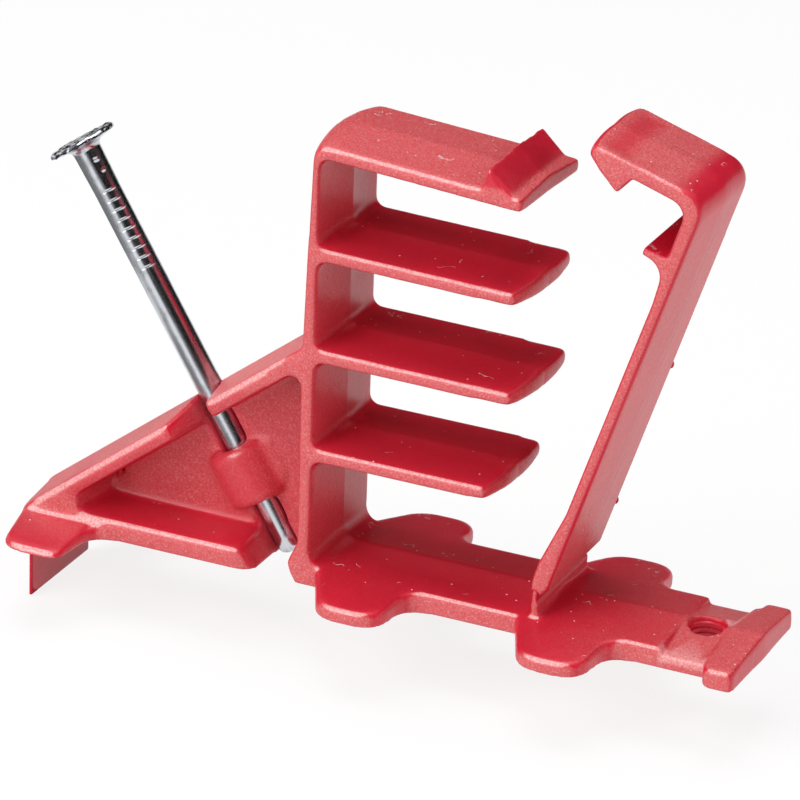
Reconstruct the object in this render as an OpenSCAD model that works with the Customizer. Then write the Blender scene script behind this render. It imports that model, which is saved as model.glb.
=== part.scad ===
// Insulated cable staple: a one-piece moulding that stacks flat house cable on shelves,
// closed by a strap on a living hinge and fixed with a slanted nail.
// X runs from the nail towards the screw tab, Y across the moulding, Z up from the mounting face.
// The mould parts on the plane Y = 0, and most surfaces slope away from it.

/* [Moulding] */
// Width of the moulding between its flat faces
depth = 12.8; // [10:0.1:16]
// Radius along the edges of the flat faces
edge_r = 0.3; // [0.15:0.05:0.45]
// How far the spine stands out further at the parting plane, on each side
spine_draft = 0.75; // [0.2:0.05:1]
// How far the tops of shelves, flanges and finger rise to the parting plane
top_draft = 0.55; // [0.2:0.05:0.9]
// How far their undersides drop to the parting plane
under_draft = 0.25; // [0.2:0.05:0.7]
// How far spine and tips stand out further on the back face than on the front face
back_shift = 0.4; // [0:0.05:0.5]
// How far the tips of the shelves bulge at the parting plane
tip_draft = 0.8; // [0.2:0.05:1.2]

/* [Spine and shelves] */
// Number of shelves below the top finger
shelf_count = 3; // [2:1:4]
// Height from one shelf to the next
shelf_pitch = 10.37; // [9:0.1:13]
// Height of the lowest shelf's top
low_shelf_z = 14.6; // [12:0.1:18]
// Length of a shelf from the spine
shelf_length = 20.4; // [16:0.1:21]
// How much shorter the lowest shelf is
low_shelf_cut = 2.2; // [0:0.1:4]
// Thickness of a shelf or the top finger at the flat faces
shelf_t = 1.36; // [1:0.02:2]
// Droop of the lowest shelf, in degrees
low_droop = 0.2; // [0:0.1:1]
// Extra droop of each shelf above it, in degrees
droop_step = 0.7; // [0:0.1:1]
// Thickness of the spine at its top
spine_top_t = 0.65; // [0.5:0.05:1.5]
// Thickness of the spine at its foot
spine_t = 1.3; // [1:0.05:2.5]
// Fillet where shelves and spine meet
root_r = 1; // [0.5:0.1:1.4]
// Fillet where base and spine meet
base_root_r = 1.6; // [0.5:0.1:2]

/* [Top finger and catch] */
// Length of the top finger from the spine
finger_length = 20.7; // [18:0.1:22]
// Droop of the top finger, in degrees
finger_droop = 4.1; // [0:0.1:6]
// Distance from the spine to the steep side of the catch wedge
wedge_x = 16.6; // [12:0.1:17]
// Length of the wedge
wedge_length = 3.1; // [2.5:0.1:3.5]
// Height of the wedge above the finger
wedge_h = 2.2; // [1.5:0.1:3]

/* [Base and tab] */
// Thickness of the base at the flat faces
base_t = 2.15; // [1.6:0.05:3]
// Rise of the base's top to the parting plane
base_draft = 0.75; // [0.2:0.05:1.2]
// Distance from the spine's face to the middle of the first pair of feet
foot_x = 6.2; // [5.5:0.1:9]
// Distance from the spine's face to the middle of the second pair of feet
far_foot_x = 27.3; // [25:0.1:30]
// Length of a foot along the base
foot_length = 7.6; // [6:0.1:10]
// Reach of the feet from the parting plane
foot_reach = 12.6; // [10:0.1:15]
// Radius along the top edge of the feet and the end block
foot_edge_r = 0.45; // [0.2:0.05:0.6]
// How much shorter the first pair of feet is
near_foot_cut = 0.4; // [0:0.1:1]
// Radius of a foot's left front corner
foot_left_r = 3; // [1.5:0.1:3.2]
// Radius of a foot's right front corner
foot_right_r = 2.5; // [1:0.1:2.6]
// How far the left side of a foot slants along its reach
foot_slant = 2.8; // [1:0.1:3.2]
// Radius of the hollow where the right side of a foot meets the moulding
foot_blend_r = 2.4; // [1:0.1:2.6]
// Start of the break-off screw tab
tab_x = 36.9; // [35:0.1:40]
// Length of the thin band that the screw hole lies in
band_length = 4.5; // [4.2:0.1:6]
// Thickness of the band at the flat faces
band_t = 1.45; // [1:0.05:1.7]
// Rise of the band's top to the parting plane
band_draft = 1.25; // [0.6:0.05:1.4]
// Length of the end block
block_length = 3.3; // [2.5:0.1:6]
// Width of the end block
block_w = 16.1; // [14:0.1:20]
// Diameter of the screw hole
screw_d = 3.8; // [3:0.1:4]

/* [Bracket] */
// Slope of the bracket's flange, in degrees
flange_slope = 37.8; // [32:0.1:41]
// Height at which the top of the flange meets the spine's inner face
flange_z = 25.83; // [23:0.1:27]
// Thickness of the flange
flange_t = 1.67; // [1.2:0.05:2.2]
// How far the flange's underside drops to the parting plane
flange_draft = 0.45; // [0.2:0.05:0.6]
// How far the flange stands back from the nail on its right
lip_gap = 0.85; // [0.2:0.05:1.2]
// Radius of the flange's front corner beside the nail
lip_r = 1.1; // [0.6:0.1:1.6]
// Thickness of the bracket's lower flange at the flat faces
sole_t = 2.2; // [1.5:0.05:2.6]
// Distance from the spine's face to the left end of the bracket
bracket_reach = 31.4; // [31:0.1:34]
// Gap between the spine's face and the right end of the lower flange
notch_x = 5.75; // [5:0.05:7]
// Length of the bracket's feet along the lower flange
bracket_foot_length = 8.1; // [7:0.1:9]
// Reach of the bracket's feet from the parting plane
bracket_foot_reach = 12.9; // [10:0.1:14]
// Slant of the left side of the bracket's feet
bracket_foot_slant = 1.1; // [0.5:0.1:1.5]
// Radius of the left front corner of the bracket's feet
bracket_foot_left_r = 2.6; // [1.5:0.1:2.8]
// Radius of the right front corner of the bracket's feet
bracket_foot_right_r = 1.2; // [0.8:0.1:1.6]
// Radius of the lower flange's front corner at the notch
notch_r = 2.6; // [1:0.1:3]
// Thickness of the web
web_t = 2; // [1.2:0.1:2.6]
// Distance from the spine's face to the edge fin
fin_x = 30.5; // [29:0.1:30.6]
// Depth of the fin below the mounting face
fin_h = 8.2; // [4:0.1:12]
// Thickness of the fin
fin_t = 0.35; // [0.3:0.05:0.8]

/* [Nail] */
// Diameter of the shank
nail_d = 2.65; // [2.2:0.05:2.8]
// Length of the nail under its head
nail_length = 44.9; // [38:0.1:55]
// Lean of the nail from upright, in degrees
nail_lean = 31.9; // [28:0.1:33]
// Distance from the spine's face to the nail's end as moulded in
nail_x = 4.45; // [4.3:0.05:5]
// Height of the nail's end
nail_z = 0.35; // [0.1:0.05:1]
// Diameter of the head
head_d = 7; // [5.5:0.1:8]
// Thickness of the head's rim
head_t = 0.5; // [0.4:0.1:1.2]
// Height of the cone under the head
head_cone_h = 1.2; // [0.6:0.1:1.6]
// Number of gripper rings
grip_count = 9; // [4:1:12]
// Spacing of the gripper rings
grip_pitch = 1.04; // [0.8:0.02:1.2]
// Height of a gripper ring
grip_h = 0.08; // [0.04:0.01:0.1]
// Distance from the head to the nearest gripper ring
grip_from_head = 4.6; // [3:0.1:8]
// How much thicker the nail gets towards its head, in radius
neck_swell = 0.1; // [0:0.02:0.2]
// Running clearance round the shank
nail_gap = 0.1; // [0.1:0.01:0.2]
// Outer diameter of the collar round the nail
collar_d = 6.8; // [5.4:0.1:7.2]
// How far the collar spreads on each side at the parting plane
collar_spread = 0.8; // [0.2:0.05:1]
// Length of the collar
collar_length = 5.9; // [4:0.1:7]
// Distance along the nail from its end to the collar
collar_start = 5.95; // [5.5:0.05:8]

/* [Strap] */
// Lean of the open strap from upright, in degrees
strap_lean = 17.9; // [12:0.1:22]
// Distance from the spine's face to the hinge line
hinge_x = 23.7; // [23:0.1:25]
// Height of the hinge line
hinge_z = 4.7; // [4.4:0.1:5.5]
// Distance from the hinge line to the strap's inner face
strap_inner = 0.45; // [0.2:0.05:0.6]
// Thickness of the strap
strap_t = 1.48; // [1.2:0.02:1.8]
// How far each side of the strap bulges at the parting plane
strap_draft = 0.35; // [0.1:0.05:0.6]
// How much narrower the strap is than the moulding, on each side
strap_inset = 0.25; // [0.1:0.05:0.6]
// How much narrower the strap's roof is than its foot, on each side
roof_inset = 0.5; // [0:0.05:0.6]
// Radius of the bead that the strap turns on
bead_r = 0.28; // [0.26:0.01:0.32]
// Running clearance of the bead
bead_gap = 0.05; // [0.03:0.01:0.08]
// Depth by which the barb hooks over the wedge
catch_depth = 0.4; // [0.1:0.05:0.5]
// Height of the barb
barb_h = 2; // [1.6:0.1:2.6]
// Length of the barb's lead-in
barb_length = 3.8; // [3:0.1:5]
// Reach of the tooth under the finger
tooth_reach = 2.4; // [1:0.1:3]
// Radius of the strap's outer corner
strap_corner_r = 2.2; // [1.5:0.1:3]

/* [Hidden] */
$fn = 48;

red = [0.80, 0.13, 0.17];
steel = [0.72, 0.73, 0.75];

half = depth / 2;
arc_steps = 5;
least_ear = 0.002;                       // least thickness of a triangle in a flat face
skin = 0.3;                              // how far joined pieces reach into each other
roof_slope = base_draft / half;          // slope of the feet's tops, which carry on from the base
crest_z = base_t + base_draft;
top_z = low_shelf_z + shelf_pitch * shelf_count;
finger_fall = tan(finger_droop);
wedge_peak = 0.6;                        // run of the wedge's steep side
wedge_top_z = top_z - (wedge_x + wedge_peak) * finger_fall + wedge_h;
block_x = tab_x + band_length;
tab_end = block_x + block_length;
screw_x = tab_x + band_length / 2;
flange_drop = flange_t / cos(flange_slope);
channel_r = nail_d / 2 + nail_gap;
collar_r = collar_d / 2;
toe = 1.15;                              // how far the spine's foot bulges towards the nail
toe_h = 1.85;                            // height of the middle of that bulge
bead_bore = bead_r + bead_gap;

function flange_at(x) = flange_z + x * tan(flange_slope);
function finger_at(x) = top_z - x * finger_fall;

// Outlines are anticlockwise lists of corners [x, z, radius, draft, shift]. The draft is how far
// the edge that leaves the corner stands out further at the parting plane, and the shift, which
// may be left out, how far it stands out further on the back face.

function spot(corner) = [corner[0], corner[1]];
function outward(a, b) = [b[1] - a[1], a[0] - b[0]] / norm(b - a);
function stand_out(corner, grow, back) = corner[3] * grow + (len(corner) > 4 ? corner[4] * back : 0);

// A corner with its two edges moved out by their drafts times grow and their shifts times back,
// less the inset
function moved(c, i, grow, inset, back) =
    let (
        count = len(c),
        before = c[(i + count - 1) % count],
        here = c[i],
        after = c[(i + 1) % count],
        n1 = outward(spot(before), spot(here)),
        n2 = outward(spot(here), spot(after)),
        g1 = stand_out(before, grow, back) - inset,
        g2 = stand_out(here, grow, back) - inset,
        k = n1 * n2
    )
    spot(here) + (n1 * (g1 - k * g2) + n2 * (g2 - k * g1)) / (1 - k * k);

function turned(v, angle) = [
    v[0] * cos(angle) - v[1] * sin(angle),
    v[0] * sin(angle) + v[1] * cos(angle)
];

// Points of the arc that rounds corner b between its neighbours a and d
function corner_arc(a, b, d, radius) =
    let (
        u = (b - a) / norm(b - a),
        v = (d - b) / norm(d - b),
        turn = atan2(u[0] * v[1] - u[1] * v[0], u * v),
        spoke = [u[1], -u[0]] * radius * sign(turn),
        centre = b - u * radius * tan(abs(turn) / 2) - spoke
    )
    [for (k = [0:arc_steps]) centre + turned(spoke, turn * k / arc_steps)];

function rounded(c, grow = 0, inset = 0, back = 0) =
    let (
        count = len(c),
        spots = [for (i = [0:count - 1]) moved(c, i, grow, inset, back)]
    )
    [for (i = [0:count - 1]) each c[i][2] == 0 ? [spots[i]] :
        corner_arc(spots[(i + count - 1) % count], spots[i], spots[(i + 1) % count], c[i][2])];

// Above zero where c lies to the left of the line from a to b
function side_of(a, b, c) = (b[0] - a[0]) * (c[1] - a[1]) - (b[1] - a[1]) * (c[0] - a[0]);

// Whether a point of the outline lies in the triangle of its points a, b and c
function blocked(p, rest, a, b, c) = len([for (i = rest) if (
    i != a && i != b && i != c
    && side_of(p[a], p[b], p[i]) >= 0
    && side_of(p[b], p[c], p[i]) >= 0
    && side_of(p[c], p[a], p[i]) >= 0
) i]) > 0;

// Triangles that fill a flat outline, cut off it one corner at a time
function ears(p, rest, k = 0, out = []) =
    let (
        count = len(rest),
        a = rest[(k + count - 1) % count],
        b = rest[k % count],
        c = rest[(k + 1) % count],
        least = k > 2 * count ? least_ear / 100 : least_ear
    )
    count == 3 ? concat(out, [rest]) :
    k > 4 * count ? out :
    side_of(p[a], p[b], p[c]) > least * norm(p[c] - p[a]) && !blocked(p, rest, a, b, c) ?
        ears(p, [for (i = rest) if (i != b) i], k % count, concat(out, [[a, b, c]])) :
        ears(p, rest, k + 1, out);

// A solid between rings of points, closed by the triangles first and last of its end rings
module loft(rings, first, last) {
    count = len(rings[0]);
    top = len(rings) - 1;
    sides = [for (j = [0:top - 1]) for (i = [0:count - 1])
        let (n = (i + 1) % count)
        [j * count + i, j * count + n, (j + 1) * count + n, (j + 1) * count + i]];
    start = [for (t = first) [t[2], t[1], t[0]]];
    end = [for (t = last) [for (i = t) top * count + i]];
    polyhedron([for (r = rings) each r], concat(start, end, sides), convexity = 12);
}

// A moulded slab: the outline at both flat faces, grown by its drafts towards the parting
// plane, with rounded edges. Its width at height z is less by taper times z on each side.
module moulded(c, half_w, taper = 0) {
    near = [[half_w, edge_r], [half_w - 0.3 * edge_r, 0.3 * edge_r], [half_w - edge_r, 0]];
    levels = concat(
        [for (s = near) [-s[0], s[1]]],
        [[0, 0]],
        [for (i = [2:-1:0]) near[i]]
    );
    outlines = [for (s = levels) rounded(c, 1 - abs(s[0]) / half_w, s[1], max(0, s[0]) / half_w)];
    every = [for (i = [0:len(outlines[0]) - 1]) i];
    loft(
        [for (j = [0:len(levels) - 1]) [for (p = outlines[j])
            [p[0], levels[j][0] * (1 - taper * p[1] / half_w), p[1]]]],
        ears(outlines[0], every),
        ears(outlines[len(levels) - 1], every)
    );
}

// Corners of a shelf, from the spine out along its underside and back along its top
function shelf(k) =
    let (
        z = low_shelf_z + shelf_pitch * k,
        reach = shelf_length - (k == 0 ? low_shelf_cut : 0),
        tip_z = z - reach * tan(low_droop + droop_step * k)
    )
    [
        [0, z - shelf_t, root_r, under_draft],
        [reach, tip_z - shelf_t, 0.3, tip_draft, back_shift],
        [reach, tip_z, 0.3, top_draft, 0.4 * back_shift],
        [0, z, root_r, spine_draft, back_shift]
    ];

function top_finger() = [
    [0, top_z - shelf_t, root_r, 0],
    [finger_length, finger_at(finger_length) - shelf_t, 0.35, 0.1 * tip_draft, back_shift],
    [finger_length, finger_at(finger_length), 0.3, flange_draft],
    [wedge_x + wedge_length, finger_at(wedge_x + wedge_length), 0.3, flange_draft],
    [wedge_x + wedge_peak, wedge_top_z, 0.12, 0],
    [wedge_x, finger_at(wedge_x), 0.4, top_draft],
    [-spine_top_t, finger_at(-spine_top_t), 1.5, spine_draft]
];

// Side view of the whole moulding, without the feet, the web and the nail's collar
function side_outline() = concat(
    [
        [-spine_t - 0.1, 0, 0.3, 0],
        [tab_end, 0, 0.2, flange_draft / 2],
        [tab_end, base_t, 0.35, base_draft],
        [block_x, base_t, 0.2, 0],
        [block_x, band_t, 0.2, band_draft],
        [tab_x, band_t, 0.2, 0],
        [tab_x, base_t, 0.3, base_draft],
        [0, base_t, base_root_r, spine_draft, back_shift]
    ],
    [for (k = [0:shelf_count - 1]) each shelf(k)],
    top_finger(),
    [
        [-spine_t, flange_at(-spine_t), 0.5, top_draft],
        [-bracket_reach, flange_at(-bracket_reach), 0.5, flange_draft / 2],
        [-bracket_reach - 0.2, 0, 0.2, 0],
        [-notch_x, 0, 0.3, 0],
        [-notch_x, sole_t, 0.4, flange_draft],
        [(sole_t - flange_z + flange_drop) / tan(flange_slope), sole_t, 1.2, flange_draft],
        [-spine_t - 0.05, flange_at(-spine_t) - flange_drop, 1, spine_draft / 2],
        [-spine_t, toe_h + 2.5, 2, flange_draft / 2],
        [-spine_t - toe, toe_h, 0.9, 0]
    ]
);

// Half of the plan of a pair of feet: the left side slants, and the right side ends in a hollow
// where it meets the moulding
function foot_plan(left, length, slant, reach, left_r, right_r) =
    let (right = left + length, blend_end = right + foot_blend_r)
    [
        [left + 1.5, 1.5 - half, 0, 0],
        [left, -half, 0.6, 0],
        [left + slant, -reach, left_r, 0],
        [right - 0.6, -reach, right_r, 0],
        [right, -half, foot_blend_r, 0],
        [blend_end, -half, 0, 0],
        [blend_end, 1.5 - half, 0, 0]
    ];

// A pad on the mounting face with the given plan, all on the front side. Its top slopes down from
// the parting plane, and its top edge is rounded.
module pad(plan, height, edge = foot_edge_r) {
    levels = [[0, edge], [0.3 * edge, 0.3 * edge], [edge, 0]];
    outlines = [for (s = levels) rounded(plan, 0, s[1])];
    every = [for (i = [0:len(outlines[0]) - 1]) i];
    tops = [for (j = [0:2]) [for (p = outlines[j]) [p[0], p[1], height + p[1] * roof_slope - levels[j][0]]]];
    loft(
        concat(tops, [[for (p = outlines[2]) [p[0], p[1], 0]]]),
        ears(outlines[0], every),
        ears(outlines[2], every)
    );
}

module feet(plan, height) {
    for (side = [0, 1]) mirror([0, side, 0]) pad(plan, height);
}

module bracket_foot() {
    feet(
        foot_plan(
            -bracket_reach, bracket_foot_length, bracket_foot_slant,
            bracket_foot_reach, bracket_foot_left_r, bracket_foot_right_r
        ),
        sole_t
    );
}

// The tab's end block is wider than the band, with a rounded front corner, and a hollow flare at
// the back that is as thick as the band
module end_block() {
    wide = block_w / 2;
    flare_x = block_x + 0.6;
    front_plan = [
        [block_x, -wide, 1.3, 0],
        [tab_end, -wide, 0.6, 0],
        [tab_end, 1, 0, 0],
        [block_x, 1, 0, 0]
    ];
    back_plan = [
        [flare_x, -wide, 0.3, 0],
        [tab_end, -wide, 0.3, 0],
        [tab_end, 1, 0, 0],
        [block_x, 1, 0, 0]
    ];
    flare = [
        [block_x - 1, -half, 0, 0],
        [flare_x - 0.15, -half, 1.2, 0],
        [flare_x + 0.05, -wide + 0.2, 0, 0],
        [flare_x + 1, -wide + 0.2, 0, 0],
        [flare_x + 1, 1 - half, 0, 0],
        [block_x - 1, 1 - half, 0, 0]
    ];
    for (side = [0, 1]) mirror([0, side, 0]) intersection() {
        pad(side == 0 ? front_plan : back_plan, crest_z, side == 0 ? foot_edge_r : 0.15);
        translate([tab_x, -2 * half, -1]) cube([2 * tab_end, 2 * half, depth]);
    }
    mirror([0, 1, 0]) linear_extrude(band_t) polygon(rounded(flare));
}

module along_nail() {
    translate([-nail_x, 0, nail_z]) rotate([0, -nail_lean, 0]) children();
}

// A thin plate on the parting plane fills the triangle between flange, sole and spine
module web() {
    rotate([90, 0, 0]) linear_extrude(web_t, center = true) polygon([
        [-bracket_reach + 3, skin],
        [-spine_t / 2, skin],
        [-spine_t / 2, flange_at(-spine_t) - skin]
    ]);
}

// A barrel with rounded ends round the nail
module barrel(start, length, end_r) {
    translate([0, 0, start]) rotate_extrude() polygon(rounded([
        [0, 0, 0, 0],
        [collar_r, 0, end_r, 0],
        [collar_r, length, end_r, 0],
        [0, length, 0, 0]
    ]));
}

// The collar stands on a wider block, mostly on its right
module collar_block() {
    right = collar_r + collar_spread;
    collar_end = collar_start + collar_length;
    rotate([90, 0, 0]) linear_extrude(web_t / 2 + 0.4) polygon(rounded([
        [-collar_r - 0.15, collar_start + 0.4, 0.3, 0],
        [right - 1.6, collar_start, 0.5, 0],
        [right, collar_start + 1.6, 1.2, 0],
        [right, collar_end - 0.3, 0.3, 0],
        [-collar_r - 0.15, collar_end - 0.3, 0.3, 0]
    ]));
}

// The collar closes round the nail in front, and half barrels back it above and below.
// A pair of plain mould halves can form the nail's channel in this way.
module nail_barrels() {
    front_space = [3 * depth, depth, 3 * depth];
    intersection() {
        along_nail() union() {
            barrel(collar_start, collar_length, 0.6);
            collar_block();
        }
        translate([-2 * depth, web_t / 2 - depth, -depth]) cube(front_space);
    }
    intersection() {
        along_nail() union() {
            barrel(-1, collar_start + 1.5, 0.3);
            barrel(collar_start + collar_length - 0.5, 5.5, 0.3);
        }
        translate([-2 * depth, -web_t / 2, 0]) cube([2 * depth - spine_t / 2, depth, 3 * depth]);
    }
}

// Open groove for the nail, from in front, with a rounded shoulder on its left and, where lip
// is above zero, a wall that stands back from the nail and a rounded corner on its right
module front_groove(start, length, flare, lip) {
    front = half + 1;
    shoulder = [for (k = [0:arc_steps]) let (a = 90 * k / arc_steps)
        [-channel_r - flare * (1 - cos(a)), -front * sin(a)]];
    corner = [for (k = [arc_steps:-1:0]) let (a = 90 * k / arc_steps)
        [channel_r + lip_gap + lip * (1 - cos(a)), lip - half - lip * sin(a)]];
    translate([0, 0, start]) linear_extrude(length) polygon(concat(
        shoulder,
        lip > 0 ? [[channel_r + lip_gap + lip, -front], each corner] : [[channel_r, -front]],
        [[channel_r, 0]]
    ));
}

module nail_channel() {
    collar_end = collar_start + collar_length;
    along_nail() {
        translate([0, 0, -4]) cylinder(r = channel_r, h = 30);
        front_groove(-4, collar_start + 4, 0.3, 0);
        front_groove(collar_end, 12, 2.6, lip_r);
        translate([-channel_r, 0, collar_start]) cube([2 * channel_r, depth, collar_length]);
    }
}

// The lower flange ends in a rounded corner at the notch, at both faces
module notch_corners() {
    for (side = [0, 1]) mirror([0, side, 0]) translate([-notch_x - notch_r, -half - 1, -1]) difference() {
        cube([notch_r + 1, notch_r + 1, crest_z + 1.5]);
        translate([0, notch_r + 1, -1]) cylinder(r = notch_r, h = crest_z + 4);
    }
}

// A low boss carries the hinge line, necked down to the bead that the strap turns on
module hinge_boss() {
    neck = 0.15;
    flank = 0.42;
    shoulder = hinge_z - 1.1;
    boss = [
        [hinge_x - 0.9, base_t - skin, 0, 0],
        [hinge_x + 1.2, base_t - skin, 0, 0],
        [hinge_x + 1.1, base_t, 0, 0],
        [hinge_x + flank, base_t + 0.4, 0.6, 0],
        [hinge_x + flank, shoulder, 0.15, 0],
        [hinge_x + neck, hinge_z - 0.7, 0.15, 0],
        [hinge_x + neck, hinge_z, 0, 0],
        [hinge_x - neck, hinge_z, 0, 0],
        [hinge_x - neck, hinge_z - 0.7, 0.15, 0],
        [hinge_x - 0.3, shoulder, 0.15, 0],
        [hinge_x - 0.35, base_t + 0.4, 0.6, 0],
        [hinge_x - 0.8, base_t, 0, 0]
    ];
    strap_w = depth - 2 * strap_inset;
    rotate([90, 0, 0]) {
        linear_extrude(strap_w, center = true) polygon(rounded(boss));
        translate([hinge_x, hinge_z, -strap_w / 2]) cylinder(r = bead_r, h = strap_w);
    }
}

module moulded_body() color(red) difference() {
    union() {
        difference() {
            union() {
                moulded(side_outline(), half);
                web();
            }
            notch_corners();
        }
        for (f = [[foot_x, near_foot_cut], [far_foot_x, 0]]) {
            left = f[0] - 0.7 * foot_length;
            reach = foot_reach - f[1];
            feet(foot_plan(left, 1.27 * foot_length, foot_slant, reach, foot_left_r, foot_right_r), crest_z);
        }
        bracket_foot();
        end_block();
        nail_barrels();
        hinge_boss();
        translate([-fin_x - fin_t / 2, -half + edge_r, -fin_h])
            cube([fin_t, depth - 2 * edge_r, fin_h + sole_t / 2]);
    }
    nail_channel();
    translate([screw_x, 0, -1]) cylinder(d = screw_d, h = crest_z + 2);
}

// Side view of the strap, upright, with the hinge line at the origin
function strap_outline() =
    let (
        inner = -strap_inner,
        outer = strap_t - strap_inner,
        barb_x = wedge_x - 0.05 - hinge_x,
        barb_z = wedge_top_z - catch_depth - hinge_z,
        roof_z = barb_z + barb_h,
        roof_end = barb_x - barb_length,
        tooth_z = finger_at(finger_length) - shelf_t - hinge_z
    )
    [
        [-0.5, 0, 0.08, 0],
        [0.62, 0, 0.1, 0],
        [outer, 0.9, 0.4, strap_draft, 0.7 * back_shift],
        [outer, roof_z + strap_t, strap_corner_r, strap_draft],
        [roof_end, roof_z + strap_t, 0.7, strap_draft],
        [roof_end, roof_z, 0.15, 0],
        [barb_x, barb_z, 0.1, 0],
        [barb_x + 0.9, roof_z, 0.25, strap_draft],
        [inner, roof_z, 1.6, strap_draft],
        [inner, tooth_z, 0.3, 0],
        [inner - tooth_reach, tooth_z - 0.15, 0.12, 0],
        [inner - tooth_reach, tooth_z - 0.95, 0.12, 0],
        [inner, tooth_z - 1.05, 1.9, strap_draft],
        [inner + 0.3, tooth_z - 5, 5, strap_draft],
        [inner + 0.3, 9, 6, strap_draft],
        [inner - 0.4, 3, 1, 0],
        [inner - 0.38, 1.3, 0.5, 0]
    ];

module closing_strap() color(red) translate([hinge_x, 0, hinge_z]) rotate([0, strap_lean, 0]) difference() {
    moulded(strap_outline(), half - strap_inset, roof_inset / top_z);
    rotate([90, 0, 0]) cylinder(r = bead_bore, h = 2 * depth, center = true);
}

// One turned profile gives the blunt end, the shank, the gripper rings, the neck that widens
// towards the head, the hollow cone and the head
module nail() {
    shank_r = nail_d / 2;
    neck_r = shank_r + neck_swell;
    head_r = head_d / 2;
    grip_end = nail_length - grip_from_head;
    grip_start = grip_end - grip_count * grip_pitch;
    rings = [for (k = [0:grip_count - 1]) let (z = grip_start + k * grip_pitch)
        each [[shank_r, z], [shank_r + grip_h, z + 0.2 * grip_pitch], [shank_r, z + 0.6 * grip_pitch]]];
    color(steel) along_nail() rotate_extrude() polygon(concat(
        [[0, 0], [shank_r - 0.5, 0], [shank_r, 0.5]],
        rings,
        [
            [shank_r, grip_end],
            [neck_r, nail_length - head_cone_h],
            [neck_r + 0.25, nail_length - 0.5 * head_cone_h],
            [0.75 * head_r, nail_length - 0.12 * head_cone_h],
            [head_r, nail_length],
            [head_r, nail_length + 0.7 * head_t],
            [head_r - 0.3, nail_length + head_t],
            [0, nail_length + head_t + 0.1]
        ]
    ));
}

moulded_body();
closing_strap();
nail();
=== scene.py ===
"""Looks of the insulated cable staple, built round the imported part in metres."""

import logging
import math
from dataclasses import dataclass, field
from enum import Enum

import bmesh
import bpy
import numpy as np
from mathutils import Matrix, Vector, noise


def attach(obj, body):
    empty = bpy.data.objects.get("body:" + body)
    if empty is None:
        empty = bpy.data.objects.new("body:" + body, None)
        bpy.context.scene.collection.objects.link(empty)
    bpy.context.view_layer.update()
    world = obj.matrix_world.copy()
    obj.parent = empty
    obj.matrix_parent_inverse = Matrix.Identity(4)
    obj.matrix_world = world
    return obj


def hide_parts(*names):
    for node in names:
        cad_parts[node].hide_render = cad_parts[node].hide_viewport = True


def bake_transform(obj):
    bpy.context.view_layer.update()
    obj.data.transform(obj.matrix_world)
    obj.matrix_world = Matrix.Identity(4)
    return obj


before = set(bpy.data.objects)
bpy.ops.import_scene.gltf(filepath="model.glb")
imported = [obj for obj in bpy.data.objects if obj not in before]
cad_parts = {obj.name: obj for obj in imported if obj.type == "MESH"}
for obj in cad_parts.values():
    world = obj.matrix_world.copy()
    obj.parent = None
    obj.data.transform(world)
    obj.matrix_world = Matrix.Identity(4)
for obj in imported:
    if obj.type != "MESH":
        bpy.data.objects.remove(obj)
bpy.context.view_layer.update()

Socket = bpy.types.NodeSocket
Colour = tuple[float, ...]
Spot = tuple[float, float, float]

MM = 0.001

# Names of the point values that the plastic reads
# Paleness of the frosted finish, plus painted sheen on faces that catch the lamps
FROST_AND_SHEEN = "frost_and_sheen"
# Painted highlight on edges that face the key lamp, plus real whitened wear
EDGE_SHINE_AND_WEAR = "edge_shine_and_wear"

# The middle of the part in metres, which the lamps and cards face
AIM = (0.005, 0.0, 0.02)

# The range that most values of a noise texture lie in
NOISE_SPAN = (0.35, 0.65)

# How finely the weights of a vertex group are stepped
WEIGHT_STEPS = 10

# Limits in mm of a zone that has none on that side, and the ways that faces look
FAR = 100.0
ALL_LOW, ALL_HIGH = (-FAR, -FAR, -FAR), (FAR, FAR, FAR)
FRONT, REAR, UP, RIGHT = (0, -1, 0), (0, 1, 0), (0, 0, 1), (1, 0, 0)

log = logging.getLogger("cable_staple")


class Body(Enum):
    """Moving bodies of the part."""

    STAPLE = "staple"
    STRAP = "strap"
    NAIL = "driven_nail"


class NodeTree:
    """Small helper that adds and joins the nodes of one material or world."""

    def __init__(self, tree: bpy.types.NodeTree) -> None:
        """Keeps the tree and empties it."""
        self.tree = tree
        tree.nodes.clear()

    def add(self, kind: str, inputs: dict | None = None, **settings: object) -> bpy.types.Node:
        """Adds a node.

        Args:
            kind: Blender's name of the node type.
            inputs: Values or output sockets by input name or number.
            settings: Properties of the node.

        Returns:
            The new node.
        """
        node = self.tree.nodes.new(kind)
        for key, value in settings.items():
            setattr(node, key, value)
        for key, value in (inputs or {}).items():
            if isinstance(value, Socket):
                self.tree.links.new(value, node.inputs[key])
            else:
                node.inputs[key].default_value = value
        return node

    def place(self) -> Socket:
        """Returns the places of the surface, in metres of the object."""
        return self.add("ShaderNodeTexCoord").outputs["Object"]

    def noise(self, where: Socket, scale: float, detail: float = 2.0) -> Socket:
        """Returns the value of a noise texture of that many grains per metre."""
        made = self.add("ShaderNodeTexNoise", {"Vector": where, "Scale": scale, "Detail": detail})
        return made.outputs["Fac"]

    def ramp(self, value: Socket, low: float, high: float,
             to_low: float = 0.0, to_high: float = 1.0) -> Socket:
        """Moves a value smoothly from one range into another.

        Args:
            value: The value.
            low: Where its range starts.
            high: Where its range ends.
            to_low: What low becomes.
            to_high: What high becomes.

        Returns:
            The moved value.
        """
        made = self.add("ShaderNodeMapRange",
                        {0: value, 1: low, 2: high, 3: to_low, 4: to_high},
                        interpolation_type="SMOOTHSTEP")
        return made.outputs[0]

    def math(self, kind: str, a: object, b: object = 0.0) -> Socket:
        """Returns the result of a Math node of that kind."""
        return self.add("ShaderNodeMath", {0: a, 1: b}, operation=kind).outputs[0]

    def mix(self, share: object, a: object, b: object) -> Socket:
        """Returns colour a blended towards colour b by share."""
        made = self.add("ShaderNodeMix", {0: share, 6: a, 7: b}, data_type="RGBA")
        return made.outputs[2]


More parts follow.
